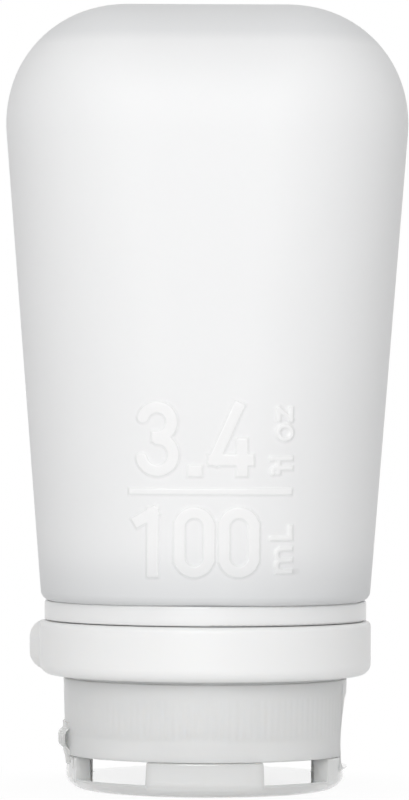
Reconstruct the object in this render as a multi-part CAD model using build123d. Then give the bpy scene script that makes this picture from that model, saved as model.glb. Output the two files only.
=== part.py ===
from build123d import *
import math
import os

# Squeezable travel bottle of soft silicone with a screw cap and a flip lid, in millimetres.
# It stands on its lid with the base up. The origin is the centre of the lid's flat outer face.
# +Z runs up to the base, -X is the hinge side, +X the finger side and -Y the side with the marks.
# Radii grow outward from the mouth's bore, and heights are stacked upward from the lid's face.

# Clearances and the overrun of every cutter
seat_gap = 0.05
turning_gap = 0.3
thread_gap = 0.7
ring_gap = 0.2
overrun = 1.0

# Neck sleeve, which grips the silicone neck from inside
sleeve_bore = 11.1
sleeve_wall = 1.0
sleeve_flange = 1.0
barb_reach = 0.7
barb_height = 1.2

# Neck collar: the band under the body, the hub of the loop ring and the spigot of the cap
spigot_wall = 2.0
band_inset = 0.6
flange_thickness = 2.5
flange_edge_round = 0.25
hub_step = 0.6
hub_wall = 1.6
hub_tip_step = 1.0
hub_tip_height = 0.3
bead_reach = 0.5
bead_lead = 0.6
bead_land = 0.3

# Loop ring and its hanging loop, which points back and to the left
ring_wall = 2.3
ring_height = 6.8
ring_lip = 0.85
ring_play = 0.3
ring_low_round = 1.5
ring_top_round = 0.3
eye_radius = 4.2
eye_web = 0.5
eye_round = 0.4
loop_strap = 3.7
loop_round = 3.0
loop_drop = 0.6
loop_azimuth = 127.5

# Seal between the cap's deck and the mouth
seal_thickness = 0.95

# Screw cap: a skirt round the neck, a deck with a spout, and a boss for the valve
cap_wall = 2.0
cap_draft = 0.25
cap_height = 9.6
cap_edge_round = 0.4
rim_wall = 2.1
rim_depth = 2.6
deck_thickness = 1.3
spout_bore = 3.1
spout_wall = 1.3
spout_length = 2.0
boss_wall = 1.2
boss_height = 2.4

# Finger scoop in the cap's wall at +X, and the apron that carries it down to the lid's lip
scoop_radius = 45.0
scoop_height = 7.95
scoop_ledge = 0.42
scoop_depth = 1.15
scoop_low_depth = 1.0
scoop_deepest = 2.2
scoop_half_angle = 12.0
apron_drop = 1.0
apron_half_angle = 15.0

# No-drip valve and the ring that holds it
valve_flange_reach = 3.1
valve_flange = 1.0
valve_membrane = 0.6
valve_depth = 1.0
slit_length = 3.2
slit_width = 0.2
retainer_bore = 4.4
retainer_thickness = 1.2

# Living hinge at -X: a pad on the cap's wall, and a leaf that stands off it down to the hinge line
strap_half_angle = 16.0
strap_height = 4.3
strap_root = 1.1
strap_gap = 0.15
strap_thickness = 0.4
hinge_reach = 0.9

# Flip lid: a disc on four legs, with a hollow plug, a snap tongue and a finger lip
lid_inset = 0.35
lid_plate = 1.6
lid_edge_round = 2.0
leg_wall = 2.1
leg_height = 2.85
side_leg_half_angle = 24.5
hinge_leg_half_angle = 23.0
lip_leg_half_angle = 29.0
slit_azimuth = 20.0
hinge_slit_width = 0.5
hinge_slit_depth = 1.5
plug_wall = 0.8
plug_entry = 1.3
tongue_thickness = 0.9
tongue_height = 1.3
tongue_root = 1.4
tongue_half_angle = 12.0
lip_reach = 0.55
lip_fall = 0.45

# Silicone body: a rounded square that narrows to a nearly round shoulder
body_height = 76.5
base_half_width = 26.95
base_flat = 9.95
base_round = 14.4
least_corner = 1.0
shoulder_overhang = 0.35
shoulder_flat = 1.75
shoulder_round = 1.3
neck_wall = 1.5
body_wall = 3.0
base_wall = 3.4
shoulder_wall = 2.8
cavity_floor_round = 3.5
arc_sections = 5

# Radii, each built outward on the one before
sleeve_radius = sleeve_bore + sleeve_wall
neck_bore = sleeve_radius + seat_gap
neck_radius = neck_bore + neck_wall
collar_bore = neck_radius + seat_gap
spigot_radius = collar_bore + spigot_wall
cap_bore = spigot_radius + thread_gap
cap_radius = cap_bore + cap_wall
hub_radius = cap_radius + hub_step
bead_radius = hub_radius + bead_reach
ring_bore = hub_radius + ring_gap
ring_radius = ring_bore + ring_wall
flange_radius = ring_radius - band_inset
shoulder_half_width = flange_radius + shoulder_overhang
base_fillet = min(base_round, base_half_width - base_flat - least_corner)
well_radius = cap_radius - rim_wall
tongue_radius = well_radius - turning_gap
lid_radius = cap_radius - lid_inset
leg_bore = lid_radius - leg_wall
spout_radius = spout_bore + spout_wall
plug_radius = spout_bore - turning_gap
valve_radius = spout_bore + valve_flange_reach
boss_bore = valve_radius + boss_wall
boss_radius = boss_bore + boss_wall
loop_radius = eye_radius + loop_strap
eye_distance = ring_radius + eye_web + eye_radius
hinge_x = -(cap_radius + hinge_reach)

# Heights above the lid's face, each stacked on the one before
leg_top = lid_plate + leg_height
parting = leg_top + seat_gap
apron_low = parting - apron_drop
lip_top = apron_low - seat_gap
lip_tip = lip_top - lip_fall
well_floor = parting + rim_depth
deck_inner = well_floor + deck_thickness
spout_tip = well_floor - spout_length
cap_top = parting + cap_height
mouth = deck_inner + seal_thickness + 2 * seat_gap
spigot_end = mouth + sleeve_flange + seat_gap
hub_end = cap_top + turning_gap
bead_top = hub_end + hub_tip_height + bead_lead + bead_land
ring_seat = bead_top + seat_gap
ring_low = ring_seat - ring_lip
ring_top = ring_low + ring_height
loop_low = ring_low - loop_drop
loop_top = loop_low + ring_height
flange_low = ring_top + ring_play
collar_top = flange_low + flange_thickness
cavity_floor = collar_top + shoulder_wall
sleeve_top = cavity_floor + seat_gap + barb_height
base_top = collar_top + body_height
cavity_top = base_top - base_wall


def turned(*points):
    """A solid turned about Z from its half outline, given as (radius, height) points."""
    return revolve(Plane.XZ * make_face(Polyline(*points, close=True)), Axis.Z)


def turned_sector(half_angle, azimuth, *points):
    """The same outline turned through half_angle each side of an azimuth."""
    face = Plane.XZ * make_face(Polyline(*points, close=True))
    return revolve(Rot(0, 0, azimuth - half_angle) * face, Axis.Z, revolution_arc=2 * half_angle)


def disc(radius, low, high):
    """A cylinder on the Z axis between two heights."""
    return Pos(0, 0, (low + high) / 2) * Cylinder(radius, high - low)


def tube(bore, radius, low, high):
    """A plain ring on the Z axis between two heights."""
    return disc(radius, low, high) - disc(bore, low - overrun, high + overrun)


def edges_at(part, height):
    """The edges that lie level at a height."""
    return part.edges().filter_by_position(Axis.Z, height - seat_gap, height + seat_gap)


def level_circles(part, radius, height):
    """The round edges of one radius at a height."""
    round_edges = edges_at(part, height).filter_by(GeomType.CIRCLE)
    return [edge for edge in round_edges if abs(edge.radius - radius) < seat_gap]


def half_width_at(height):
    """Half the body's width, on the straight line from shoulder to base."""
    share = (height - collar_top) / body_height
    return shoulder_half_width + share * (base_half_width - shoulder_half_width)


def flat_at(height):
    """Half the length of the body's flat sides, on the same straight line."""
    share = (height - collar_top) / body_height
    return shoulder_flat + share * (base_flat - shoulder_flat)


def body_section(height, inset):
    """The body's rounded square at a height, drawn in by a wall."""
    half_width = half_width_at(height)
    width = 2 * (half_width - inset)
    return Pos(0, 0, height) * RectangleRounded(width, width, half_width - flat_at(height) - inset)


def end_sections(end_height, radius, inset, way):
    """Sections round an end of the body, from the leaning wall over an arc to the flat end; way is 1 up, -1 down."""
    lean = math.atan((base_half_width - shoulder_half_width) / body_height)
    centre_height = end_height - way * radius
    centre_width = half_width_at(centre_height) - inset - radius / math.cos(lean)
    sections = []
    for step in range(arc_sections + 1):
        turn = -way * lean + (math.pi / 2 + way * lean) * step / arc_sections
        height = centre_height + way * radius * math.sin(turn)
        half_width = centre_width + radius * math.cos(turn)
        sections.append(body_section(height, half_width_at(height) - half_width))
    return sections


def rounded_form(low, low_radius, high, high_radius, inset):
    """The body's form between two heights, drawn in by a wall and rounded at both ends."""
    low_end = end_sections(low, low_radius, inset, -1)
    high_end = end_sections(high, high_radius, inset, 1)
    return loft([low_end[0], high_end[0]], ruled=True) + loft(low_end) + loft(high_end)


def body_cavity():
    """The hollow for the contents, rounded where the walls meet base and shoulder."""
    return rounded_form(cavity_floor, cavity_floor_round, cavity_top, base_fillet - body_wall, body_wall)


def silicone_bottle():
    """Soft body with its base up, and the neck that hangs into the collar."""
    body = rounded_form(collar_top, shoulder_round, base_top, base_fillet, 0) - body_cavity()
    body += disc(neck_radius, spigot_end, collar_top + shoulder_wall / 2)
    return body - disc(neck_bore, spigot_end - overrun, cavity_floor + overrun)


def neck_collar():
    """Band, hub with a snap bead for the ring, and spigot, cored between hub and spigot."""
    hub_bore = hub_radius - hub_wall
    tip_radius = hub_radius - hub_tip_step
    tip_top = hub_end + hub_tip_height
    collar = turned(
        (collar_bore, spigot_end),
        (spigot_radius, spigot_end),
        (spigot_radius, flange_low),
        (hub_bore, flange_low),
        (hub_bore, hub_end),
        (tip_radius, hub_end),
        (tip_radius, tip_top),
        (bead_radius, tip_top + bead_lead),
        (bead_radius, bead_top),
        (hub_radius, bead_top),
        (hub_radius, flange_low),
        (flange_radius, flange_low),
        (flange_radius, collar_top),
        (collar_bore, collar_top),
    )
    rims = level_circles(collar, flange_radius, flange_low) + level_circles(collar, flange_radius, collar_top)
    return fillet(rims, flange_edge_round)


def neck_sleeve():
    """Sleeve with a flange at the mouth and a barb inside the body."""
    flange_top = mouth + sleeve_flange
    barb_low = cavity_floor + seat_gap
    return turned(
        (sleeve_bore, mouth),
        (spigot_radius, mouth),
        (spigot_radius, flange_top),
        (sleeve_radius, flange_top),
        (sleeve_radius, barb_low),
        (sleeve_radius + barb_reach, barb_low),
        (sleeve_radius, sleeve_top),
        (sleeve_bore, sleeve_top),
    )


def hanging_loop():
    """Full-round loop with a rounded eye, cut to start inside the ring's wall."""
    tongue = Pos(eye_distance / 2, 0) * Rectangle(eye_distance, 2 * loop_radius)
    tongue += Pos(eye_distance, 0) * Circle(loop_radius)
    loop = Pos(0, 0, loop_low) * extrude(tongue, ring_height)
    loop = fillet(edges_at(loop, loop_low) + edges_at(loop, loop_top), loop_round)
    loop -= Pos(eye_distance, 0) * disc(eye_radius, loop_low - overrun, loop_top + overrun)
    rims = level_circles(loop, eye_radius, loop_low) + level_circles(loop, eye_radius, loop_top)
    loop = fillet(rims, eye_round)
    loop -= disc(ring_radius - ring_wall / 2, loop_low - overrun, loop_top + overrun)
    return Rot(0, 0, loop_azimuth) * loop


def loop_ring():
    """Soft ring that snaps over the hub's bead and turns there, with its hanging loop."""
    lip_bore = ring_bore + bead_reach
    ring = turned(
        (lip_bore, ring_low),
        (ring_radius, ring_low),
        (ring_radius, ring_top),
        (ring_bore, ring_top),
        (ring_bore, ring_seat),
        (lip_bore, ring_seat),
    )
    ring = fillet(level_circles(ring, ring_radius, ring_low), ring_low_round)
    ring = fillet(level_circles(ring, ring_radius, ring_top), ring_top_round)
    return ring + hanging_loop()


def seal_ring():
    """Flat seal that rides in the cap, between deck and mouth."""
    low = deck_inner + seat_gap
    return tube(sleeve_bore, cap_bore - turning_gap, low, low + seal_thickness)


def cap_radius_at(height):
    """Outer radius of the cap, which tapers with the mould's draft."""
    return cap_radius - cap_draft * (cap_top - height) / cap_height


def finger_scoop():
    """Cutter of the scoop, hollow both ways: turned about an upright axis far out at +X."""
    ledge = (cap_radius - scoop_ledge, parting + scoop_height - scoop_ledge)
    deepest = (cap_radius - scoop_depth, parting + scoop_deepest)
    low = (cap_radius - scoop_low_depth, apron_low)
    outside = cap_radius + overrun
    rest = Polyline(
        low,
        (low[0], apron_low - overrun),
        (outside, apron_low - overrun),
        (outside, parting + scoop_height + overrun),
        ledge,
    )
    face = Plane.XZ * make_face([ThreePointArc(ledge, deepest, low), rest])
    far_axis = Axis((cap_radius - scoop_depth + scoop_radius, 0, 0), (0, 0, 1))
    return revolve(face.rotate(far_axis, -scoop_half_angle), far_axis, revolution_arc=2 * scoop_half_angle)


def cap_shell():
    """Skirt, deck, spout and valve boss in one turned form, trimmed to leave the apron, and its scoop."""
    boss_top = deck_inner + boss_height
    cap = turned(
        (cap_radius_at(apron_low), apron_low),
        (cap_radius, cap_top),
        (cap_bore, cap_top),
        (cap_bore, deck_inner),
        (boss_radius, deck_inner),
        (boss_radius, boss_top),
        (boss_bore, boss_top),
        (boss_bore, deck_inner),
        (spout_bore, deck_inner),
        (spout_bore, spout_tip),
        (spout_radius, spout_tip),
        (spout_radius, well_floor),
        (well_radius, well_floor),
        (well_radius, apron_low),
    )
    cap = fillet(level_circles(cap, cap_radius, cap_top), cap_edge_round)
    trim = turned_sector(
        180 - apron_half_angle,
        180,
        (well_radius - overrun, apron_low - overrun),
        (cap_radius + overrun, apron_low - overrun),
        (cap_radius + overrun, parting),
        (well_radius - overrun, parting),
    )
    return cap - trim - finger_scoop()


def no_drip_valve():
    """Valve with a flange on the deck, a cup in the spout and a cross slit."""
    low = deck_inner + seat_gap
    cup_radius = spout_bore - seat_gap
    cup_bore = cup_radius - valve_membrane
    cup_floor = deck_inner - valve_depth
    valve = turned(
        (0, cup_floor),
        (cup_radius, cup_floor),
        (cup_radius, low),
        (valve_radius, low),
        (valve_radius, low + valve_flange),
        (cup_bore, low + valve_flange),
        (cup_bore, cup_floor + valve_membrane),
        (0, cup_floor + valve_membrane),
    )
    for turn in (0, 90):
        slit = Box(slit_length, slit_width, valve_membrane + 2 * overrun)
        valve -= Pos(0, 0, cup_floor) * Rot(0, 0, turn) * slit
    return valve


def valve_retainer():
    """Ring in the boss that holds the valve's flange on the deck."""
    low = deck_inner + valve_flange + 2 * seat_gap
    return tube(retainer_bore, boss_bore - seat_gap, low, low + retainer_thickness)


def hinge_strap():
    """The living hinge's pad and its leaf, which ends at the line that the lid flips about."""
    root_top = parting + strap_height
    root_low = root_top - strap_root
    leaf_inner = cap_radius + strap_gap
    leaf_outer = leaf_inner + strap_thickness
    return turned_sector(
        strap_half_angle,
        180,
        (cap_radius_at(root_top), root_top),
        (leaf_outer, root_low),
        (leaf_outer, parting),
        (leaf_inner, parting),
        (leaf_inner, root_low - strap_root / 2),
        (cap_radius_at(root_low), root_low),
    )


def leg_windows():
    """Cutters of the four windows, between the side legs and those at hinge and lip."""
    cutters = []
    for azimuth, leg_half_angle in ((180, hinge_leg_half_angle), (0, lip_leg_half_angle)):
        half_angle = (90 - side_leg_half_angle - leg_half_angle) / 2
        for turn in (-leg_half_angle - half_angle, leg_half_angle + half_angle):
            cutters.append(
                turned_sector(
                    half_angle,
                    azimuth + turn,
                    (leg_bore - overrun, lid_plate),
                    (lid_radius + overrun, lid_plate),
                    (lid_radius + overrun, leg_top + overrun),
                    (leg_bore - overrun, leg_top + overrun),
                )
            )
    return cutters


def hinge_slits():
    """Cutters of the two slits that free the lid's end of the living hinge."""
    slit = Box(2 * leg_wall, hinge_slit_width, 2 * hinge_slit_depth)
    middle = (leg_bore + lid_radius) / 2
    return [Rot(0, 0, 180 + turn) * Pos(middle, 0, leg_top) * slit for turn in (-slit_azimuth, slit_azimuth)]


def lip_notch():
    """Cutter that clears the leg at +X for the cap's apron and slopes its top down to the lip."""
    return turned_sector(
        apron_half_angle + math.degrees(turning_gap / lid_radius),
        0,
        (leg_bore - overrun, lip_top),
        (leg_bore, lip_top),
        (lid_radius + lip_reach, lip_tip),
        (lid_radius + lip_reach + overrun, lip_tip),
        (lid_radius + lip_reach + overrun, leg_top + overrun),
        (leg_bore - overrun, leg_top + overrun),
    )


def finger_lip():
    """Sharp lip for the finger, level with the slope of the notch."""
    slope_at_wall = lip_tip + lip_fall * lip_reach / (leg_wall + lip_reach)
    return turned_sector(
        apron_half_angle,
        0,
        (leg_bore + leg_wall / 2, lip_tip - lip_reach),
        (lid_radius, lip_tip - lip_reach),
        (lid_radius + lip_reach, lip_tip),
        (lid_radius, slope_at_wall),
        (leg_bore + leg_wall / 2, slope_at_wall),
    )


def snap_tongue():
    """Tongue that grips the well's wall behind the lip."""
    tongue_inner = tongue_radius - tongue_thickness
    return turned_sector(
        tongue_half_angle,
        0,
        (tongue_inner, lid_plate / 2),
        (leg_bore + leg_wall / 2, lid_plate / 2),
        (leg_bore + leg_wall / 2, lid_plate + tongue_root),
        (tongue_radius, lid_plate + tongue_root),
        (tongue_radius, parting + tongue_height),
        (tongue_inner, parting + tongue_height),
    )


def flip_lid():
    """Disc, four legs, hollow plug, snap tongue and finger lip."""
    plug_top = spout_tip + plug_entry
    lid = disc(lid_radius, 0, leg_top)
    lid = fillet(edges_at(lid, 0), lid_edge_round)
    lid -= disc(leg_bore, lid_plate, leg_top + overrun)
    for cutter in (*leg_windows(), *hinge_slits(), lip_notch()):
        lid -= cutter
    plug = disc(plug_radius, lid_plate / 2, plug_top) - disc(plug_radius - plug_wall, lid_plate, plug_top + overrun)
    return lid + finger_lip() + snap_tongue() + plug


pieces = {
    "silicone_bottle": silicone_bottle,
    "neck_collar": neck_collar,
    "neck_sleeve": neck_sleeve,
    "loop_ring": loop_ring,
    "seal_ring": seal_ring,
    "cap_shell": cap_shell,
    "no_drip_valve": no_drip_valve,
    "valve_retainer": valve_retainer,
    "hinge_strap": hinge_strap,
    "flip_lid": flip_lid,
}

os.makedirs("parts", exist_ok=True)
for name, make in pieces.items():
    export_step(make(), f"parts/{name}.step")

capacity = body_cavity().volume + math.pi * sleeve_bore**2 * (cavity_floor - mouth)
eye = [round(eye_distance * share(math.radians(loop_azimuth)), 3) for share in (math.cos, math.sin)]
print("brimful capacity in ml", round(capacity / 1000, 1))
print("hinge axis", round(hinge_x, 3), round(parting, 3))
print("eye centre", eye, round((loop_low + loop_top) / 2, 3), "length", round(ring_height - 2 * eye_round, 3))
print("heights", {key: round(globals()[key], 3) for key in ("parting", "mouth", "ring_low", "collar_top", "base_top")})
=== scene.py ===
"""Looks of a squeezable travel bottle of soft silicone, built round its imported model."""

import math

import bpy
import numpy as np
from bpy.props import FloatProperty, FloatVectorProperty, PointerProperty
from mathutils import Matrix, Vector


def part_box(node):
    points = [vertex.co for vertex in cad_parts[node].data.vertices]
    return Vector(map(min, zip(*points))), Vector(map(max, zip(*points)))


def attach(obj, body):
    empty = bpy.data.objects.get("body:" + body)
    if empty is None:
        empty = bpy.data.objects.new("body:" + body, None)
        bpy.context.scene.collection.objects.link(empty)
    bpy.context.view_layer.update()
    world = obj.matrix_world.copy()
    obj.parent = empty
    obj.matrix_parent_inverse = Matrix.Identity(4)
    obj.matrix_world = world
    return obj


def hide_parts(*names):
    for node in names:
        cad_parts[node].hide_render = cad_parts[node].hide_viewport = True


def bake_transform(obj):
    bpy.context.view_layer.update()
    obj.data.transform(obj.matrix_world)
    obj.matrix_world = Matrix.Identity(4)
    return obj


bl_info = {
    "name": "Travel Silicone Bottle",
    "version": (1, 0, 0),
    "blender": (4, 5, 0),
    "location": "View3D > Sidebar > Bottle",
    "description": "Builds the visible pieces, finishes and studio of a squeezable travel bottle",
    "category": "Add Mesh",
}

MM = 0.001

# Roundings of moulded edges, from crisp to soft
CRISP, THIN, EDGE, ROUND, SOFT = (reach * MM for reach in (0.1, 0.15, 0.2, 0.3, 0.4))

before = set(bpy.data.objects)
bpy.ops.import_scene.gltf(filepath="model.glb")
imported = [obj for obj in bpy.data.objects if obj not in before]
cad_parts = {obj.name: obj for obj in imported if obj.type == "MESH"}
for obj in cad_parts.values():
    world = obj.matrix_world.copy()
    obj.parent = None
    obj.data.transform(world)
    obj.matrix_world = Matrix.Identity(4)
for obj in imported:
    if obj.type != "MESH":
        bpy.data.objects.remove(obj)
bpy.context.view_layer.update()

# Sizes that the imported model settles
body_low, body_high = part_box("silicone_bottle")
collar_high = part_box("neck_collar")[1]
ring_low, ring_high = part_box("loop_ring")
seal_low, seal_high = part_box("seal_ring")
cap_low, cap_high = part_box("cap_shell")
valve_low, valve_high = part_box("no_drip_valve")
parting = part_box("hinge_strap")[0].z
lid_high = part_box("flip_lid")[1]


def length(millimetres, about):
    """A length property, kept in metres, with its default given in millimetres."""
    return FloatProperty(description=about, default=millimetres * MM, unit="LENGTH", precision=5)


def angle(degrees, about):
    """An angle property with its default given in degrees."""
    return FloatProperty(description=about, default=math.radians(degrees), subtype="ANGLE")


def share(default, about):
    """A share between 0 and 1."""
    return FloatProperty(description=about, default=default, min=0.0, max=1.0, subtype="FACTOR")


def level(default, about):
    """A plain number, such as the strength of a light or a density."""
    return FloatProperty(description=about, default=default, min=0.0)


def colour(default, about):
    """A linear colour."""
    return FloatVectorProperty(description=about, default=default, size=3, min=0.0, max=1.0, subtype="COLOR")


def titled(group):
    """Gives each property of a group its key, in plain words, as its name."""
    for key, made in group.__annotations__.items():
        made.keywords["name"] = key.replace("_", " ").capitalize()
    return group


@titled
class BodySizes(bpy.types.PropertyGroup):
    """Sizes of the soft body and of the capacity marks on its front."""

    base_half_width: length(26.95, "Half the width where the sides would meet the base")
    base_flat: length(9.95, "Half the length of the flat sides at the base")
    base_reach: length(16.5, "How far the rounding reaches in from the base's edge")
    base_fullness: share(0.05, "How much squarer the base's rounding is than a circle")
    shoulder_overhang: length(0.35, "How far the shoulder stands past the band")
    shoulder_flat: length(1.75, "Half the length of the flat sides at the shoulder")
    shoulder_reach: length(1.3, "Rounding of the shoulder's edge")
    wall: length(3.0, "Thickness of the side wall")
    base_wall: length(3.4, "Thickness of the base")
    shoulder_wall: length(2.8, "Thickness of the shoulder")
    floor_reach: length(3.5, "Rounding of the hollow where walls meet the shoulder")
    neck_bore: length(12.15, "Inner radius of the neck")
    neck_wall: length(1.5, "Thickness of the neck")
    relief: length(0.25, "How far the capacity marks stand out")
    stroke: length(1.55, "Width of the strokes of the figures")
    rule_stroke: length(0.92, "Width of the rule between the figures")
    small_stroke: length(0.62, "Width of the strokes of the small letters")
    mark_edge: length(0.28, "Width of the slope round each stroke")
    # Painted shade: heights over which the body's colour is greyed, up from the collar and down from the base.
    shoulder_shade: length(9.0, "Height over which the thick shoulder looks greyer")
    base_shade: length(5.6, "Height over which the thick base looks greyer")


@titled
class ClosureSizes(bpy.types.PropertyGroup):
    """Sizes of the pieces under the body: ring, cap, hinge and lid."""

    ring_wall: length(2.1, "Thickness of the loop ring")
    ring_height: length(6.8, "Height of the loop ring")
    eye_radius: length(4.2, "Radius of the loop's eye")
    eye_web: length(0.5, "Wall between the eye and the ring")
    loop_strap: length(3.45, "Width of the loop round its eye")
    loop_round: length(3.0, "Largest rounding of the loop's outer edges")
    loop_azimuth: angle(127.5, "Direction of the loop, from +X")
    cap_wall: length(2.0, "Thickness of the cap's skirt")
    cap_draft: length(0.25, "How much the cap narrows towards its parting")
    well_wall: length(2.1, "Thickness of the cap's wall round its well")
    well_depth: length(2.6, "Depth of the well that the lid closes")
    deck: length(1.3, "Thickness of the cap's deck")
    spout_bore: length(3.1, "Radius of the spout's hole")
    spout_wall: length(1.3, "Thickness of the spout")
    spout_length: length(2.0, "How far the spout stands below the deck")
    boss_wall: length(1.2, "Thickness of the boss round the valve")
    boss_height: length(2.4, "Height of the boss round the valve")
    rib_relief: length(0.07, "Depth of the grip ribs")
    rib_low: length(7.1, "Height at which the grip ribs start")
    rib_high: length(12.7, "Height at which the grip ribs end")
    apron_angle: angle(15.0, "Half the angle of the cap's apron at the finger side")
    scoop_angle: angle(16.0, "Half the angle of the finger scoop")
    scoop_radius: length(45.0, "Radius of the finger scoop, seen from above")
    scoop_top: length(12.03, "Height of the ledge at the top of the scoop")
    scoop_ledge: length(0.42, "Depth of the scoop at its ledge")
    scoop_depth: length(1.15, "Depth of the scoop where it is deepest")
    scoop_middle: length(6.7, "Height at which the scoop is deepest")
    scoop_foot: length(1.0, "Depth of the scoop at the apron's edge")
    thread_pitch: length(4.0, "Rise of the screw thread in a turn")
    thread_relief: length(0.45, "Height of the screw thread")
    thread_turns: level(0.62, "Turns of each screw thread")
    strap_angle: angle(16.0, "Half the angle of the living hinge")
    strap_thickness: length(0.34, "Thickness of the living hinge")
    strap_bow: length(0.62, "How far the living hinge bows out")
    plate: length(1.6, "Thickness of the lid's disc")
    lid_bevel: length(1.3, "How far the lid's rounded lower edge reaches in and up")
    leg_wall: length(2.1, "Thickness of the lid's legs")
    leg_height: length(2.85, "Height of the lid's legs")
    side_leg: angle(24.5, "Half the angle of each side leg")
    hinge_leg: angle(23.0, "Half the angle of the leg at the hinge")
    lip_leg: angle(29.0, "Half the angle of the leg at the finger lip")
    slit_angle: angle(20.0, "Angle of each slit in the hinge leg, from the leg's middle")
    lip_fall: length(0.45, "How far the lip's top slopes down")
    plug_radius: length(2.8, "Radius of the lid's plug")
    plug_wall: length(0.8, "Wall of the lid's plug")
    tongue_angle: angle(12.0, "Half the angle of the snap tongue")
    valve_wall: length(0.6, "Wall of the valve's cup")


@titled
class Finishes(bpy.types.PropertyGroup):
    """Colours and finishes of the materials."""

    body_colour: colour((0.955, 0.957, 0.96), "Colour of the frosted silicone")
    # Painted brightness: the polished marks are coloured whiter than the silicone round them.
    painted_mark_brightness: colour((1.0, 1.0, 1.0), "Colour of the polished capacity marks")
    # Painted shade: this tint multiplies the body's colour over the shoulder and near the base.
    painted_shade_tint: colour((0.865, 0.872, 0.878), "Tint of the thick shoulder and base")
    body_absorb: colour((0.62, 0.66, 0.70), "Tint of light that passes through the body")
    ring_colour: colour((0.905, 0.905, 0.90), "Colour of the white silicone ring")
    collar_colour: colour((0.89, 0.89, 0.885), "Colour of the collar's plastic")
    cap_colour: colour((0.95, 0.955, 0.945), "Colour of the milky cap plastic")
    lid_colour: colour((0.965, 0.97, 0.96), "Colour of the lid's clear plastic")
    valve_colour: colour((0.88, 0.89, 0.9), "Colour of the thin valve silicone")
    clear_absorb: colour((0.72, 0.74, 0.74), "Tint of light that passes through cap and lid")
    body_density: level(18.0, "How strongly the silicone absorbs light, in each metre")
    cap_density: level(12.0, "How strongly the cap's plastic absorbs light, in each metre")
    lid_density: level(8.0, "How strongly the lid's plastic absorbs light, in each metre")


@titled
class Studio(bpy.types.PropertyGroup):
    """Lights, floor and camera."""

    ambient: level(0.52, "Light from all round on matt surfaces")
    key_power: level(1.8, "Power of the soft light at the front left")
    key_turn: angle(5.0, "How far to the left of the camera the soft light stands")
    key_lift: angle(16.0, "How far above the bottle's middle the soft light stands")
    key_distance: length(600.0, "Distance of the soft light from the bottle's middle")
    key_width: length(350.0, "Width of the soft light")
    key_height: length(500.0, "Height of the soft light")
    floor_shade: share(0.05, "How much of the object's shadow the floor shows")
    shade_start: length(18.0, "Distance from the axis at which the shadow starts to fade")
    shade_end: length(40.0, "Distance from the axis at which the shadow has faded")
    camera_distance: length(611.0, "Distance of the camera from the bottle's axis")
    camera_height: length(49.1, "Height of the camera above the floor")
    camera_side: length(-0.22, "How far the camera stands to the right of the axis")
    camera_roll: angle(-0.22, "Roll of the camera")


# Surfaces from grids of points


def smooth_step(value):
    """The curve 3 t squared minus 2 t cubed, from 0 to 1 and flat at both ends."""
    t = np.clip(value, 0, 1)
    return t * t * (3 - 2 * t)


def outline(corners, columns, closed=False, steps=4, fine=None, shares=None):
    """Rounded outline for every column of a grid, as rows, columns and (radius, height).

    A corner is (radius, height, reach) or (radius, height, reach, fullness), each a number or an array with a
    value for every column. A conic rounds it from reach before to reach after. Its weight is the cosine of
    half the turn, which makes it an arc, and fullness above 0 draws it nearer to the corner. The ends of an
    open outline are plain points. fine gives some corners more steps, and shares places the rows between a
    corner and the next.
    """
    table = [[np.broadcast_to(value, columns) for value in (*corner, 0)[:4]] for corner in corners]
    table = np.array(table, float)
    points = np.moveaxis(table[:, :2], 1, 2)
    back = np.roll(points, 1, axis=0) - points
    ahead = np.roll(points, -1, axis=0) - points
    back /= np.maximum(np.linalg.norm(back, axis=-1, keepdims=True), 1e-12)
    ahead /= np.maximum(np.linalg.norm(ahead, axis=-1, keepdims=True), 1e-12)
    reach = table[:, 2, :, None]
    start, end = points + reach * back, points + reach * ahead
    weight = np.sqrt((1 - (back * ahead).sum(axis=-1, keepdims=True)) / 2) * (1 + table[:, 3, :, None])
    rows, last = [], len(corners) - 1
    for number in range(len(corners)):
        if not closed and number in (0, last):
            arc = points[None, number]
            end[number] = points[number]
        else:
            t = np.linspace(0, 1, (fine or {}).get(number, steps) + 1)[:, None, None]
            side, middle, far = (1 - t) ** 2, 2 * weight[number] * t * (1 - t), t**2
            arc = side * start[number] + middle * points[number] + far * end[number]
            arc = arc / (side + middle + far)
        rows.append(arc)
        if closed or number < last:
            goal = (number + 1) % len(corners)
            target = points[goal] if not closed and goal == last else start[goal]
            at = np.asarray((shares or {}).get(number, (0.03, 0.5, 0.97)))[:, None, None]
            rows.append(end[number] + at * (target - end[number]))
    return np.concatenate(rows)


def turned(profile, azimuths):
    """Points of a profile (rows, columns, radius and height), each column turned to its azimuth about Z."""
    radius, height = profile[..., 0], profile[..., 1]
    return np.stack([radius * np.cos(azimuths), radius * np.sin(azimuths), height], axis=-1)


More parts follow.
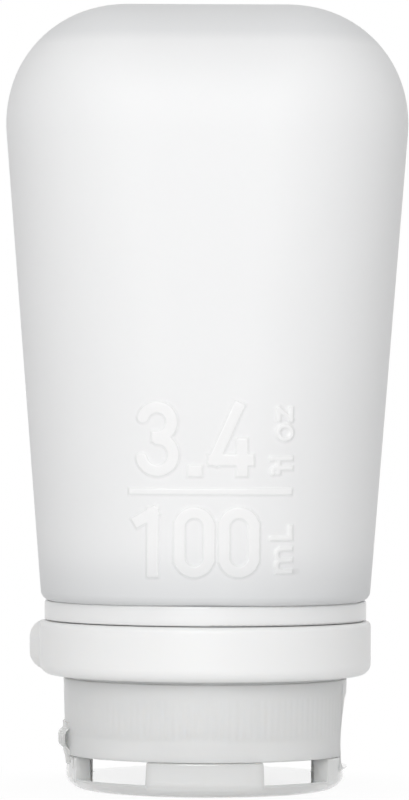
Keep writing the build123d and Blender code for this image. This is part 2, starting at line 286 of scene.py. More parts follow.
def skin(name, points, closed=False, zipped=False, attributes=None):
    """Object over a grid (rows, columns, 3) whose columns close round.

    Its rows close round as well, or end in a pole at each end. zipped closes the first and last row of a
    thin section instead, by quads between columns counted from both ends.
    """
    rows, columns = points.shape[:2]
    here = np.arange(rows * columns).reshape(rows, columns)
    beside = np.roll(here, -1, axis=1)
    quads = np.stack([here, beside, np.roll(beside, -1, axis=0), np.roll(here, -1, axis=0)], axis=-1)
    vertices = points.reshape(-1, 3)
    if closed:
        faces = quads.reshape(-1, 4).tolist()
    elif zipped:
        ahead = np.arange(columns // 2 - 1)
        back = columns - 1 - ahead
        end = np.stack([ahead, ahead + 1, back - 1, back], axis=-1)
        faces = quads[:-1].reshape(-1, 4).tolist() + end[:, ::-1].tolist() + (here[-1, 0] + end).tolist()
    else:
        first, final = np.full(columns, columns * (rows - 2)), np.full(columns, columns * (rows - 2) + 1)
        inner = here[1:-1] - columns
        turn = np.roll(inner, -1, axis=1)
        faces = (quads[1:-2] - columns).reshape(-1, 4).tolist()
        faces += np.stack([first, turn[0], inner[0]], axis=-1).tolist()
        faces += np.stack([inner[-1], turn[-1], final], axis=-1).tolist()
        vertices = np.concatenate([points[1:-1].reshape(-1, 3), points[[0, -1], 0]])
    mesh = bpy.data.meshes.new(name)
    mesh.from_pydata(vertices.tolist(), [], faces)
    for label, values in (attributes or {}).items():
        flat = np.concatenate([values[1:-1].reshape(-1), values[[0, -1], 0]])
        mesh.attributes.new(label, "FLOAT", "POINT").data.foreach_set("value", flat.astype(np.float32))
    mesh.shade_smooth()
    mesh.update()
    piece = bpy.data.objects.new(name, mesh)
    bpy.context.scene.collection.objects.link(piece)
    return piece


def lidded(points):
    """A grid with a row added at each end, all of it at the mean of the row that it closes."""
    columns = points.shape[1]
    ends = points[[0, -1]].mean(axis=1, keepdims=True)
    return np.concatenate([np.repeat(ends[:1], columns, 1), points, np.repeat(ends[1:], columns, 1)])


def full_turn(count):
    """Evenly spaced azimuths of a full turn."""
    return np.linspace(0, 2 * math.pi, count, endpoint=False)


def turned_piece(name, corners, count=180, **options):
    """Object turned about Z from one closed rounded outline."""
    return skin(name, turned(outline(corners, count, closed=True, **options), full_turn(count)), closed=True)


def sector(azimuths, centre, half_angle, softness):
    """1 within half_angle of a centre, 0 outside, with a soft step between."""
    away = np.abs((azimuths - centre + math.pi) % (2 * math.pi) - math.pi)
    return 1 - smooth_step((away - half_angle) / softness + 0.5)


def crowded_turn(count, edges, spread, extra):
    """Azimuths of a full turn with extra ones packed round each edge."""
    near = np.linspace(-spread, spread, extra)
    packed = [(edge + near) % (2 * math.pi) for edge in edges]
    return np.unique(np.round(np.concatenate([full_turn(count), *packed]), 6))


def helix(name, radius, low, start, sizes, inward=False):
    """Screw thread: an ellipse carried along a helix that rises with the azimuth, and fades at both ends."""
    end_share, least_height, width_share = 0.12, 0.02, 0.28
    along = np.linspace(0, 1, int(120 * sizes.thread_turns))[:, None]
    azimuth = start + along * sizes.thread_turns * 2 * math.pi
    fade = smooth_step(along / end_share) * smooth_step((1 - along) / end_share)
    across = full_turn(12)[None]
    sign = -1 if inward else 1
    relief = sizes.thread_relief * (least_height + (1 - least_height) * fade)
    out = radius + sign * relief * np.cos(across)
    half_width = width_share * sizes.thread_pitch / 2
    rise = sizes.thread_pitch * (azimuth - start) / (2 * math.pi)
    height = low + rise + sign * half_width * np.sin(across)
    points = np.stack([out * np.cos(azimuth), out * np.sin(azimuth), height], axis=-1)
    return skin(name, lidded(points)[:, ::-1])


# Capacity marks. Their places are in millimetres from the axis and from the floor.

MARKED_HEIGHTS = (26.4, 51.6)
UPPER_ROW = (40.7, 50.2)
LOWER_ROW = (28.0, 37.0)
RULE = (-9.25, 38.9, 10.35, 38.9)


def near_line(x, z, line):
    """Distance of each point to the line from (x0, z0) to (x1, z1), square at its ends as strokes are."""
    x0, z0, x1, z1 = line
    reach = math.hypot(x1 - x0, z1 - z0)
    along = ((x - x0) * (x1 - x0) + (z - z0) * (z1 - z0)) / reach
    across = ((x - x0) * (z1 - z0) - (z - z0) * (x1 - x0)) / reach
    return np.maximum(np.abs(across), np.abs(along - reach / 2) - reach / 2)


def near_arc(x, z, arc):
    """Distance of each point to the arc (centre x, centre z, radius, middle and half angle in degrees)."""
    x0, z0, radius, middle, half = arc
    middle, half = math.radians(middle), math.radians(half)
    turn = (np.arctan2(z - z0, x - x0) - middle + math.pi) % (2 * math.pi) - math.pi
    nearest = middle + np.clip(turn, -half, half)
    return np.hypot(x - x0 - radius * np.cos(nearest), z - z0 - radius * np.sin(nearest))


def figures(stroke):
    """Centre lines and arcs of the large figures, half a stroke inside their rows."""
    half = stroke / 2
    foot, top = UPPER_ROW[0] + half, UPPER_ROW[1] - half
    low_foot, low_top = LOWER_ROW[0] + half, LOWER_ROW[1] - half
    upper_bowl, lower_bowl, nought = 1.85, 2.0, 1.86
    waist = top - 2 * upper_bowl
    arcs = [(-6.15, top - upper_bowl, upper_bowl, 36, 126)]
    arcs += [(-6.1, foot + lower_bowl, lower_bowl, -38, 128)]
    lines = [(-6.1, waist, -5.7, waist), (-1.6, foot, -1.2, foot)]
    lines += [(3.95, top, 1.05, 42.9), (1.0, 42.85, 5.3, 42.85), (4.5, 44.9, 4.5, foot)]
    lines += [(-6.65, low_top, -6.65, low_foot), (-8.4, low_top - 1.05, -6.65, low_top)]
    for centre in (-1.45, 4.15):
        upper, lower = low_top - nought, low_foot + nought
        arcs += [(centre, upper, nought, 90, 90), (centre, lower, nought, -90, 90)]
        lines += [(centre + side, upper, centre + side, lower) for side in (-nought, nought)]
    return lines, arcs


def small_letters():
    """Centre lines and arcs of the unit names, which read upwards and so stand on a line at the right."""
    cap, waist, line = 8.25, 9.05, 10.6
    lines = [(cap, 43.05, line, 43.05), (cap + 0.5, 41.85, line, 41.85), (waist, 42.45, waist, 41.3)]
    lines += [(waist, 47.95, waist, 49.3), (line, 47.95, line, 49.3), (waist, 49.3, line, 47.95)]
    lines += [(waist, 28.8, line, 28.8), (waist + 0.45, 30.25, line, 30.25)]
    lines += [(waist + 0.45, 31.7, line, 31.7), (cap, 33.0, line, 33.0), (line, 33.0, line, 34.4)]
    arcs = [(cap + 0.5, 41.4, 0.45, 150, 60), (waist + 0.775, 46.3, 0.85, 0, 180)]
    arcs += [(waist + 0.5, middle, 0.7, 180, 90) for middle in (29.55, 30.95)]
    return lines, arcs


def mark_height(x, z, sizes):
    """Share of the relief at each point of the front: 1 on a stroke and 0 beyond its edge slope."""
    x, z = x / MM, z / MM
    edge = sizes.mark_edge / MM
    raised = np.zeros_like(x)
    groups = [(figures(sizes.stroke / MM), sizes.stroke), (([RULE], []), sizes.rule_stroke)]
    groups += [(small_letters(), sizes.small_stroke)]
    for (lines, arcs), stroke in groups:
        half = stroke / MM / 2
        distances = [near_line(x, z, line) for line in lines] + [near_arc(x, z, arc) for arc in arcs]
        for distance in distances:
            raised = np.maximum(raised, smooth_step((half - distance) / edge + 0.5))
    return raised


# Pieces


def square_columns():
    """Columns round a rounded square, counterclockwise from the side at +X.

    Every column has a direction, as cosine and sine, and a corner weight in x and y from -1 to 1. A point of
    the section is flat times the weight plus the corner radius times the direction. The flat front and the
    share of its corners that the marks reach are packed finer.
    """
    corner_columns, flat_columns, front_columns = 24, 8, 46
    beside_marks, under_marks, mark_share = 17, 66, 0.3
    arcs = {side: np.linspace(0, 1, corner_columns, endpoint=False) for side in range(4)}
    flats = {side: np.linspace(0, 1, flat_columns, endpoint=False) for side in range(4)}
    plain = np.linspace(0, 1 - mark_share, beside_marks, endpoint=False)
    arcs[2] = np.concatenate([plain, np.linspace(1 - mark_share, 1, under_marks, endpoint=False)])
    plain = np.linspace(mark_share, 1, beside_marks, endpoint=False)
    arcs[3] = np.concatenate([np.linspace(0, mark_share, under_marks, endpoint=False), plain])
    flats[3] = np.linspace(0, 1, front_columns, endpoint=False)
    directions, weights = [], []
    for side in range(4):
        facing = side * math.pi / 2
        cosine, sine = math.cos(facing), math.sin(facing)
        corner, before = np.array([cosine - sine, sine + cosine]), np.array([cosine + sine, sine - cosine])
        t = flats[side][:, None]
        turn = facing + arcs[side] * math.pi / 2
        weights += [before + t * (corner - before), np.broadcast_to(corner, (len(turn), 2))]
        directions.append(np.broadcast_to([cosine, sine], (len(t), 2)))
        directions.append(np.stack([np.cos(turn), np.sin(turn)], axis=-1))
    return np.concatenate(directions), np.concatenate(weights)


def body_piece(sizes):
    """Closed silicone shell: hollow, neck and outer form, as rounded squares carried along one outline.

    A point is the flat times the corner weight plus (half width less flat) times the direction. Half width
    and flat grow in a straight line from shoulder to base. The marks push the front out.
    """
    shoulder, top = collar_high.z, body_high.z
    shoulder_width = collar_high.x + sizes.shoulder_overhang
    cavity_top, cavity_floor = top - sizes.base_wall, shoulder + sizes.shoulder_wall
    neck_end, neck_radius = body_low.z, sizes.neck_bore + sizes.neck_wall
    directions, weights = square_columns()

    def rise(height):
        return (height - shoulder) / (top - shoulder)

    def half_width(height):
        return shoulder_width + rise(height) * (sizes.base_half_width - shoulder_width)

    inner_reach = sizes.base_reach - sizes.wall
    low, high = (height * MM for height in MARKED_HEIGHTS)
    straight_low, straight_high = shoulder + sizes.shoulder_reach, top - sizes.base_reach
    span = straight_high - straight_low
    mark_rows = np.linspace((low - straight_low) / span, (high - straight_low) / span, 176)
    wall_rows = np.concatenate([mark_rows, np.linspace(mark_rows[-1], 0.995, 14)[1:]])
    inner_base, inner_floor, shoulder_edge, base_edge = 1, 2, 7, 8
    profile = outline(
        [
            (0, cavity_top, 0),
            (half_width(cavity_top) - sizes.wall, cavity_top, inner_reach, sizes.base_fullness),
            (half_width(cavity_floor) - sizes.wall, cavity_floor, sizes.floor_reach),
            (sizes.neck_bore, cavity_floor, EDGE),
            (sizes.neck_bore, neck_end, EDGE),
            (neck_radius, neck_end, EDGE),
            (neck_radius, shoulder, EDGE),
            (shoulder_width, shoulder, sizes.shoulder_reach),
            (half_width(top), top, sizes.base_reach, sizes.base_fullness),
            (0, top, 0),
        ],
        len(directions),
        fine={inner_base: 20, inner_floor: 8, shoulder_edge: 8, base_edge: 26},
        shares={inner_base: np.linspace(0.02, 0.98, 12), shoulder_edge: wall_rows},
    )
    width, height = profile[..., 0], profile[..., 1]
    flat = sizes.shoulder_flat + np.clip(rise(height), 0, 1) * (sizes.base_flat - sizes.shoulder_flat)
    near_base = width / (sizes.base_half_width - sizes.base_reach)
    near_neck = (width - neck_radius) / (shoulder_width - sizes.wall - neck_radius)
    flat = flat * np.clip(np.where(height > (shoulder + top) / 2, near_base, near_neck), 0, 1)
    outside = (height > shoulder + sizes.shoulder_reach / 2) & (width > half_width(height) - sizes.wall / 2)
    points = np.empty((*width.shape, 3))
    points[..., :2] = flat[..., None] * weights + (width - flat)[..., None] * directions
    points[..., 2] = height
    facing = outside & (points[..., 1] < 0) & (height > low) & (height < high)
    raised = np.where(facing, mark_height(points[..., 0], height, sizes), 0)
    points[..., :2] += (sizes.relief * raised)[..., None] * directions
    # Painted shade: a share that greys the colour, fading out upwards over the shoulder and reaching 0.6 in a
    # band just under the base.
    shade_edge, base_strength = 1.5 * MM, 0.6
    shoulder_end = smooth_step((shoulder + sizes.shoulder_shade - height) / sizes.shoulder_shade)
    base_end = base_strength * smooth_step((height - top + sizes.base_shade) / shade_edge)
    painted_shade = np.maximum(shoulder_end, base_end)
    # The marks' share carries their smoother finish and also their painted brightness.
    return skin("silicone_body", points, attributes={"polish_and_painted_brightness": raised, "painted_shade": painted_shade})


def ring_piece(sizes):
    """Loop ring: a turned ring, nearly up to the band, joined with its loop."""
    nearer, lip_step, lip_height, low_round, top_round = (s * MM for s in (0.18, 0.5, 0.85, 1.5, 0.65))
    top, low, radius = ring_high.z + nearer, ring_high.z - sizes.ring_height, ring_high.x
    bore = radius - sizes.ring_wall
    lip_bore, seat = bore + lip_step, low + lip_height
    ring = turned_piece(
        "loop_ring_white",
        [
            (lip_bore, low, EDGE),
            (radius, low, low_round),
            (radius, top, top_round),
            (bore, top, EDGE),
            (bore, seat, CRISP),
            (lip_bore, seat, CRISP),
        ],
        fine={1: 8, 2: 5},
    )
    return joined(ring, loop_piece(radius, sizes))


def loop_piece(radius, sizes):
    """Hanging loop: a rounded section carried round the eye.

    Round the eye it reaches out to its strap, then along the straight flanks into the ring's wall. The
    columns are half a step off the axis, so that none runs along it.
    """
    count = 144
    around = full_turn(count) + math.pi / count / 2
    distance = radius + sizes.eye_web + sizes.eye_radius
    strap = sizes.eye_radius + sizes.loop_strap
    wall_middle = radius - sizes.ring_wall / 2
    under_root = np.maximum(wall_middle**2 - (distance * np.sin(around)) ** 2, 0)
    into_ring = -distance * np.cos(around) - np.sqrt(under_root)
    flank = strap / np.maximum(np.abs(np.sin(around)), 1e-6)
    behind = np.cos(around) < 0
    reaches_wall = behind & (wall_middle > distance * np.abs(np.sin(around)))
    outer = np.where(behind, flank, strap)
    outer = np.where(reaches_wall, np.minimum(flank, into_ring), outer)
    rounding = 0.45 * (outer - sizes.eye_radius) + 0.3 * sizes.loop_round
    rounding = np.minimum(sizes.loop_round, rounding)
    low, top = ring_low.z, ring_low.z + sizes.ring_height
    corners = [(sizes.eye_radius, low, SOFT), (outer, low, rounding)]
    corners += [(outer, top, rounding), (sizes.eye_radius, top, SOFT)]
    points = turned(outline(corners, count, closed=True, fine={1: 8, 2: 8}), around)
    x, y = points[..., 0] + distance, points[..., 1].copy()
    cosine, sine = math.cos(sizes.loop_azimuth), math.sin(sizes.loop_azimuth)
    points[..., 0], points[..., 1] = cosine * x - sine * y, sine * x + cosine * y
    return skin("loop", points, closed=True)


def keep_edges(piece):
    """Marks the edges that turn by more than 40 degrees as sharp, so that they shade crisply."""
    piece.data.set_sharp_from_angle(angle=math.radians(40))


def joined(piece, other):
    """The union of two closed pieces, as one mesh."""
    union = piece.modifiers.new("Join", "BOOLEAN")
    union.operation, union.solver, union.object = "UNION", "EXACT", other
    evaluated = piece.evaluated_get(bpy.context.evaluated_depsgraph_get())
    mesh = bpy.data.meshes.new_from_object(evaluated)
    piece.modifiers.clear()
    piece.data = mesh
    bpy.data.objects.remove(other)
    mesh.shade_smooth()
    keep_edges(piece)
    return piece


def cap_piece(sizes):
    """Screw cap: one closed outline turned about Z, with ribs, scoop and apron that change with azimuth.

    Ribs are a cosine of the azimuth, left out beside scoop and hinge. The scoop is a circle about a far
    upright axis, whose depth follows a parabola in height. The apron lowers the rows near the parting.
    """
    ribs_round, columns_per_rib, wall_rows = 120, 4, 44
    nearer, rim, rib_fade = 0.27 * MM, 0.18 * MM, 0.5 * MM
    apron_step, calm_step, scoop_step = (math.radians(degrees) for degrees in (0.7, 2, 0.9))
    top, radius = cap_high.z + nearer, cap_high.y
    bore, well = radius - sizes.cap_wall, radius - sizes.well_wall
    well_floor = parting + sizes.well_depth
    deck = well_floor + sizes.deck
    spout, spout_end = sizes.spout_bore + sizes.spout_wall, well_floor - sizes.spout_length
    boss_bore = valve_high.x + sizes.boss_wall
    boss, boss_top = boss_bore + sizes.boss_wall, deck + sizes.boss_height
    azimuths = full_turn(ribs_round * columns_per_rib)
    low = parting - sector(azimuths, 0, sizes.apron_angle, apron_step) * (parting - cap_low.z)
    profile = outline(
        [
            (radius - sizes.cap_draft, low, THIN),
            (radius, top, rim),
            (bore, top, ROUND),
            (bore, deck, SOFT),
            (boss, deck, SOFT),
            (boss, boss_top, EDGE),
            (boss_bore, boss_top, EDGE),
            (boss_bore, deck, EDGE),
            (sizes.spout_bore, deck, THIN),
            (sizes.spout_bore, spout_end, EDGE),
            (spout, spout_end, ROUND),
            (spout, well_floor, SOFT),
            (well, well_floor, SOFT),
            (well, low, THIN),
        ],
        len(azimuths),
        closed=True,
        steps=3,
        fine={1: 5},
        shares={0: np.linspace(0.01, 0.99, wall_rows)},
    )
    wall, height = profile[..., 0], profile[..., 1]
    outer = wall > radius - sizes.cap_wall / 2
    calm = sector(azimuths, 0, sizes.scoop_angle * 1.15, calm_step)
    calm = np.maximum(calm, sector(azimuths, math.pi, sizes.strap_angle * 1.2, calm_step))
    window = smooth_step((height - sizes.rib_low) / rib_fade)
    window = window * smooth_step((sizes.rib_high - height) / rib_fade)
    ribs = sizes.rib_relief * (0.5 - 0.5 * np.cos(ribs_round * azimuths)) * (1 - calm) * window
    wall = wall - np.where(outer, ribs, 0)
    bite = scoop_bite(azimuths, height, radius, sizes)
    bite = bite * sector(azimuths, 0, sizes.scoop_angle, scoop_step)
    wall = np.where(outer, wall - np.maximum(wall - bite, 0) * (bite > 0), wall)
    return skin("screw_cap", turned(np.stack([wall, height], axis=-1), azimuths), closed=True)


def scoop_bite(azimuths, height, radius, sizes):
    """Distance from the cap's axis to the scoop's face: a circle about a far axis at +X, at each azimuth.

    At the middle plane its depth follows the parabola through ledge, deepest place and foot. Where a column
    misses the circle, the distance is a metre, which bites nothing.
    """
    far = radius - sizes.scoop_depth + sizes.scoop_radius
    heights = np.array([sizes.scoop_top, sizes.scoop_middle, cap_low.z])
    depths = np.array([sizes.scoop_ledge, sizes.scoop_depth, sizes.scoop_foot])
    curve = np.polyfit(heights, depths, 2)
    above_ledge = np.maximum(height - sizes.scoop_top, 0)
    depth = np.polyval(curve, np.minimum(height, sizes.scoop_top)) - above_ledge
    around, across = far - (radius - depth), far * np.sin(azimuths)
    root = np.sqrt(np.maximum(around**2 - across**2, 0))
    return np.where((np.cos(azimuths) > 0) & (root > 0), far * np.cos(azimuths) - root, 1.0)


def strap_piece(sizes):
    """Living hinge: a thin bowed strip whose section is carried round the cap's back.

    Its distance from the axis follows lid and cap, plus a bow that is a steep-sided bell curve of height.
    """
    heights, radii = np.array([3.3, 4.2, 5.0, 8.7]) * MM, np.array([17.9, 18.0, 18.25, 18.3]) * MM
    bow_middle, bow_reach, half = 6.6 * MM, 1.1 * MM, sizes.strap_thickness / 2
    height = np.linspace(heights[-1], heights[0], 34)
    bow = sizes.strap_bow * np.exp(-(((height - bow_middle) / bow_reach) ** 6))
    middle = np.interp(height, heights, radii) + bow
    outer, inner = np.stack([middle + half, height], -1), np.stack([middle - half, height], -1)
    section = np.concatenate([outer, inner[::-1]])
    azimuths = math.pi + sizes.strap_angle * np.linspace(-1, 1, 30)
    points = turned(np.broadcast_to(section[:, None], (len(section), len(azimuths), 2)), azimuths)
    return skin("living_hinge", points.swapaxes(0, 1), zipped=True)


def lid_piece(sizes):
    """Flip lid: an outline from pole to pole whose corners change with azimuth.

    A leg lifts its corners to the leg's top. In a window they lie spread on the disc. At the finger side the
    leg's top slopes down to a lip that reaches past the edge. Two slits beside the hinge halve the leg.
    """
    slit_gap, notch_gap, lip_gap = 0.25 * MM, 0.3 * MM, 0.05 * MM
    leg_step, quarter = math.radians(0.5), math.pi / 2
    radius, plate = lid_high.y, sizes.plate
    bore, top, third = radius - sizes.leg_wall, plate + sizes.leg_height, sizes.leg_wall / 3
    lip_edge, lip_top = lid_high.x, cap_low.z - lip_gap
    lip_tip = lip_top - sizes.lip_fall
    plug_top, plug_bore = lid_high.z, sizes.plug_radius - sizes.plug_wall
    legs = [(0, sizes.lip_leg), (quarter, sizes.side_leg)]
    legs += [(math.pi, sizes.hinge_leg), (-quarter, sizes.side_leg)]
    edges = [centre + side * half for centre, half in legs for side in (-1, 1)]
    notch = sizes.apron_angle + notch_gap / radius
    slits = [math.pi - sizes.slit_angle, math.pi + sizes.slit_angle]
    azimuths = crowded_turn(240, [*edges, -notch, notch, *slits], math.radians(0.9), 9)
    leg = sum(sector(azimuths, centre, half, leg_step) for centre, half in legs)
    leg = leg - 0.5 * sum(sector(azimuths, slit, slit_gap / radius, leg_step) for slit in slits)
    lip = sector(azimuths, 0, notch, leg_step)
    height = plate + leg * ((1 - lip) * (top - plate) + lip * (lip_tip - plate))
    inner_height = plate + leg * ((1 - lip) * (top - plate) + lip * (lip_top - plate))
    bevel = sizes.lid_bevel
    window_low, leg_low, lip_low = bevel + 0.13 * MM, 2.4 * MM, lip_tip - (lip_edge - radius)
    low = window_low * (1 - leg) + leg * ((1 - lip) * leg_low + lip * lip_low)
    rounding = 0.12 * MM + CRISP * leg * (1 - lip)
    profile = outline(
        [
            (0, 0, 0),
            (radius - bevel, 0, 0.7 * bevel),
            (radius, bevel, 0.06 * MM + 0.7 * MM * leg),
            (radius, low, 0.03 * MM),
            (radius + lip * (lip_edge - radius), height, rounding),
            (bore + (1 - leg) * 2 * third, inner_height, rounding),
            (bore + (1 - leg) * third, plate, THIN),
            (sizes.plug_radius, plate, ROUND),
            (sizes.plug_radius, plug_top, 0.25 * MM),
            (plug_bore, plug_top, EDGE),
            (plug_bore, plate, EDGE),
            (0, plate, 0),
        ],
        len(azimuths),
        steps=3,
        fine={1: 8, 2: 6},
    )
    lid = skin("clear_flip_lid", turned(profile, azimuths))
    keep_edges(lid)
    return lid


def tongue_piece(sizes):
    """Snap tongue behind the lid's lip: a rounded upright section carried through a short arc."""
    gap, thickness, entry = 0.3 * MM, 0.9 * MM, 1.3 * MM
    outer = cap_high.y - sizes.well_wall - gap
    inner, low, high = outer - thickness, sizes.plate / 2, parting + entry
    corners = [(inner, low, CRISP), (outer, low, CRISP), (outer, high, ROUND), (inner, high, ROUND)]
    section = outline(corners, 1, closed=True)
    azimuths = sizes.tongue_angle * np.linspace(-1, 1, 20)
    points = turned(np.repeat(section, len(azimuths), axis=1), azimuths).swapaxes(0, 1)
    return skin("snap_tongue", lidded(points)[:, ::-1])


def valve_piece(sizes):
    """No-drip valve: a flange on the deck and a thin cup with a domed floor, cut by a cross-shaped groove."""
    low, high, gap, dome = valve_low.z, valve_high.z, 0.05 * MM, 0.25 * MM
    cup = sizes.spout_bore - gap
    cup_bore, floor = cup - sizes.valve_wall, low + sizes.valve_wall
    seat = parting + sizes.well_depth + sizes.deck + gap
    azimuths = crowded_turn(96, [side * math.pi / 2 for side in range(4)], math.radians(10), 13)
    profile = outline(
        [
            (0, low + dome, 0),
            (cup * 0.55, low + 0.12 * MM, ROUND),
            (cup, low, ROUND),
            (cup, seat, EDGE),
            (valve_high.x, seat, EDGE),
            (valve_high.x, high, ROUND),
            (cup_bore, high, ROUND),
            (cup_bore, floor, SOFT),
            (cup_bore * 0.5, floor + THIN, ROUND),
            (0, floor + dome, 0),
        ],
        len(azimuths),
        shares={0: np.linspace(0.05, 0.95, 12), 1: np.linspace(0.1, 0.9, 6)},
    )
    points = turned(profile, azimuths)
    across = np.minimum(np.abs(points[..., 0]), np.abs(points[..., 1]))
    along = np.maximum(np.abs(points[..., 0]), np.abs(points[..., 1]))
    slit_width, slit_reach, slit_depth = 0.09 * MM, 1.65 * MM, 0.3 * MM
    groove = smooth_step(1.6 - across / slit_width) * smooth_step((slit_reach - along) / EDGE)
    outside = (points[..., 2] < low + SOFT) & (along < cup * 0.9)
    points[..., 2] += np.where(outside, slit_depth * groove, 0)
    return skin("slit_valve", points)


def seal_piece():
    """Flat seal with a raised bead on each face. The upper face runs back over the corners of the lower."""
    bead, dip = 0.9 * MM, 0.14 * MM
    low, high = seal_low.z, seal_high.z
    inner, outer = sleeve_bore(), seal_high.x
    middle = (inner + outer) / 2
    radii = (inner, middle - bead, middle, middle + bead, outer)
    dips, reaches = (dip, dip, 0, dip, dip), (THIN, EDGE, SOFT, EDGE, THIN)
    face = list(zip(radii, dips, reaches))
    corners = [(radius, low + down, reach) for radius, down, reach in face]
    corners += [(radius, high - down, reach) for radius, down, reach in reversed(face)]
    return turned_piece("mouth_seal", corners, steps=3)


def sleeve_bore():
    """Bore of the neck sleeve: the smallest distance of its vertices from the axis."""
    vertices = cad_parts["neck_sleeve"].data.vertices
    places = np.empty(len(vertices) * 3, np.float32)
    vertices.foreach_get("co", places)
    places = places.reshape(-1, 3)
    return float(np.hypot(places[:, 0], places[:, 1]).min())


# Materials


def maths(nodes, links, operation, *values):
    """Output of a Math node whose inputs are numbers or sockets."""
    node = nodes.new("ShaderNodeMath")
    node.operation = operation
    for socket, value in zip(node.inputs, values):
        if isinstance(value, (int, float)):
            socket.default_value = value
        else:
            links.new(value, socket)
    return node.outputs[0]


def moulded_surface():
    """Node group of a moulded surface: slow tone changes, uneven gloss and a fine grain."""
    if "Moulded Surface" in bpy.data.node_groups:
        return bpy.data.node_groups["Moulded Surface"]
    group = bpy.data.node_groups.new("Moulded Surface", "ShaderNodeTree")
    number, tone = "NodeSocketFloat", "NodeSocketColor"
    inputs = {"Colour": tone, "Shade": number, "Patch Size": number, "Roughness": number, "Unevenness": number,
              "Grain Size": number, "Grain Height": number}
    outputs = {"Colour": tone, "Roughness": number, "Normal": "NodeSocketVector"}
    for side, sockets in (("INPUT", inputs), ("OUTPUT", outputs)):
        for label, kind in sockets.items():
            group.interface.new_socket(label, in_out=side, socket_type=kind)
    nodes, links = group.nodes, group.links
    entry, leave = nodes.new("NodeGroupInput"), nodes.new("NodeGroupOutput")
    place = nodes.new("ShaderNodeTexCoord")
    patches, grain = nodes.new("ShaderNodeTexNoise"), nodes.new("ShaderNodeTexNoise")
    for noise, size, detail in ((patches, "Patch Size", 2.0), (grain, "Grain Size", 3.0)):
        noise.inputs["Detail"].default_value = detail
        links.new(place.outputs["Object"], noise.inputs["Vector"])
        links.new(entry.outputs[size], noise.inputs["Scale"])
    shade = maths(nodes, links, "MULTIPLY_ADD", patches.outputs["Fac"], entry.outputs["Shade"], 1.0)
    less = maths(nodes, links, "MULTIPLY_ADD", entry.outputs["Shade"], -0.5, shade)
    tint = nodes.new("ShaderNodeMix")
    tint.data_type, tint.blend_type = "RGBA", "MULTIPLY"
    tint.inputs["Factor"].default_value = 1.0
    links.new(entry.outputs["Colour"], tint.inputs["A"])
    links.new(less, tint.inputs["B"])
    links.new(tint.outputs["Result"], leave.inputs["Colour"])
    uneven = maths(nodes, links, "SUBTRACT", grain.outputs["Fac"], 0.5)
    amount, base = entry.outputs["Unevenness"], entry.outputs["Roughness"]
    links.new(maths(nodes, links, "MULTIPLY_ADD", uneven, amount, base), leave.inputs["Roughness"])
    bump = nodes.new("ShaderNodeBump")
    bump.inputs["Distance"].default_value = 0.01 * MM
    links.new(grain.outputs["Fac"], bump.inputs["Height"])
    links.new(entry.outputs["Grain Height"], bump.inputs["Strength"])
    links.new(bump.outputs["Normal"], leave.inputs["Normal"])
    return group


def finish(name, tint, roughness, transmission=0.0, ior=1.45, shade=0.03, patch=60.0, unevenness=0.06,
           grain=2500.0, grain_height=0.25, absorb=None, density=0.0, subsurface=0.0, coat=0.0, marked=None):
    """Material of a moulded piece, on the shared surface group, which absorbs light where it is clear.

    marked is a pair of colours, for the piece's attributes polish and thick: the surface is smoother and takes
    the first colour, a painted brightness, where the marks are polished, and is multiplied by the second, a
    painted shade, over the shoulder and near the base.
    """
    material = bpy.data.materials.new(name)
    material.use_nodes = True
    nodes, links = material.node_tree.nodes, material.node_tree.links
    shader = nodes["Principled BSDF"]
    surface = nodes.new("ShaderNodeGroup")
    surface.node_tree = moulded_surface()
    values = {"Colour": (*tint, 1.0), "Shade": shade, "Patch Size": patch, "Roughness": roughness,
              "Unevenness": unevenness, "Grain Size": grain, "Grain Height": grain_height}
    scatter = (2.0 * MM, 1.9 * MM, 1.8 * MM)
    settings = {"IOR": ior, "Transmission Weight": transmission, "Subsurface Weight": subsurface,
                "Subsurface Radius": scatter, "Subsurface Scale": 1.0, "Coat Weight": coat}
    for node, given in ((surface, values), (shader, settings)):
        for label, value in given.items():
            node.inputs[label].default_value = value
    if marked:
        mark_surface(nodes, links, surface, tint, roughness, *marked)
    for source, target in (("Colour", "Base Color"), ("Roughness", "Roughness"), ("Normal", "Normal")):
        links.new(surface.outputs[source], shader.inputs[target])
    if absorb:
        volume = nodes.new("ShaderNodeVolumeAbsorption")
        volume.inputs["Color"].default_value = (*absorb, 1.0)
        volume.inputs["Density"].default_value = density
        links.new(volume.outputs["Volume"], nodes["Material Output"].inputs["Volume"])
    return material


def mark_surface(nodes, links, surface, tint, roughness, painted_polish_brightness, painted_shade_tint):
    """Feeds a surface's colour and roughness from the piece's attributes polish and thick: smoother with a
    painted brightness on the polished marks, and a painted shade over the shoulder and near the base.
    """
    polish_and_painted_brightness, painted_shade = nodes.new("ShaderNodeAttribute"), nodes.new("ShaderNodeAttribute")
    polish_and_painted_brightness.attribute_name, painted_shade.attribute_name = "polish_and_painted_brightness", "painted_shade"
    smoother = maths(nodes, links, "MULTIPLY_ADD", polish_and_painted_brightness.outputs["Fac"], -0.3, roughness)
    links.new(smoother, surface.inputs["Roughness"])
    # Painted light: whiter paints a brightness on the polished marks, and greyer multiplies in a painted shade
    # over the shoulder and near the base.
    whiter, greyer = nodes.new("ShaderNodeMix"), nodes.new("ShaderNodeMix")
    whiter.data_type = greyer.data_type = "RGBA"
    greyer.blend_type = "MULTIPLY"
    whiter.inputs["A"].default_value = (*tint, 1.0)
    for mix, where, tone in ((whiter, polish_and_painted_brightness, painted_polish_brightness), (greyer, painted_shade, painted_shade_tint)):
        mix.inputs["B"].default_value = (*tone, 1.0)
        links.new(where.outputs["Fac"], mix.inputs["Factor"])
    links.new(whiter.outputs["Result"], greyer.inputs["A"])
    links.new(greyer.outputs["Result"], surface.inputs["Colour"])


def coat_with(piece, material):
    """Makes a material the only one of a piece."""
    piece.data.materials.clear()
    piece.data.materials.append(material)


def dress(piece, body, material, slot, *nodes):
    """Gives a new piece its material and its body, and hides the nodes that it stands for. Its slot is not
    used.
    """
    coat_with(piece, material)
    if body:
        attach(piece, body)
    if nodes:
        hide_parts(*nodes)


# Operators


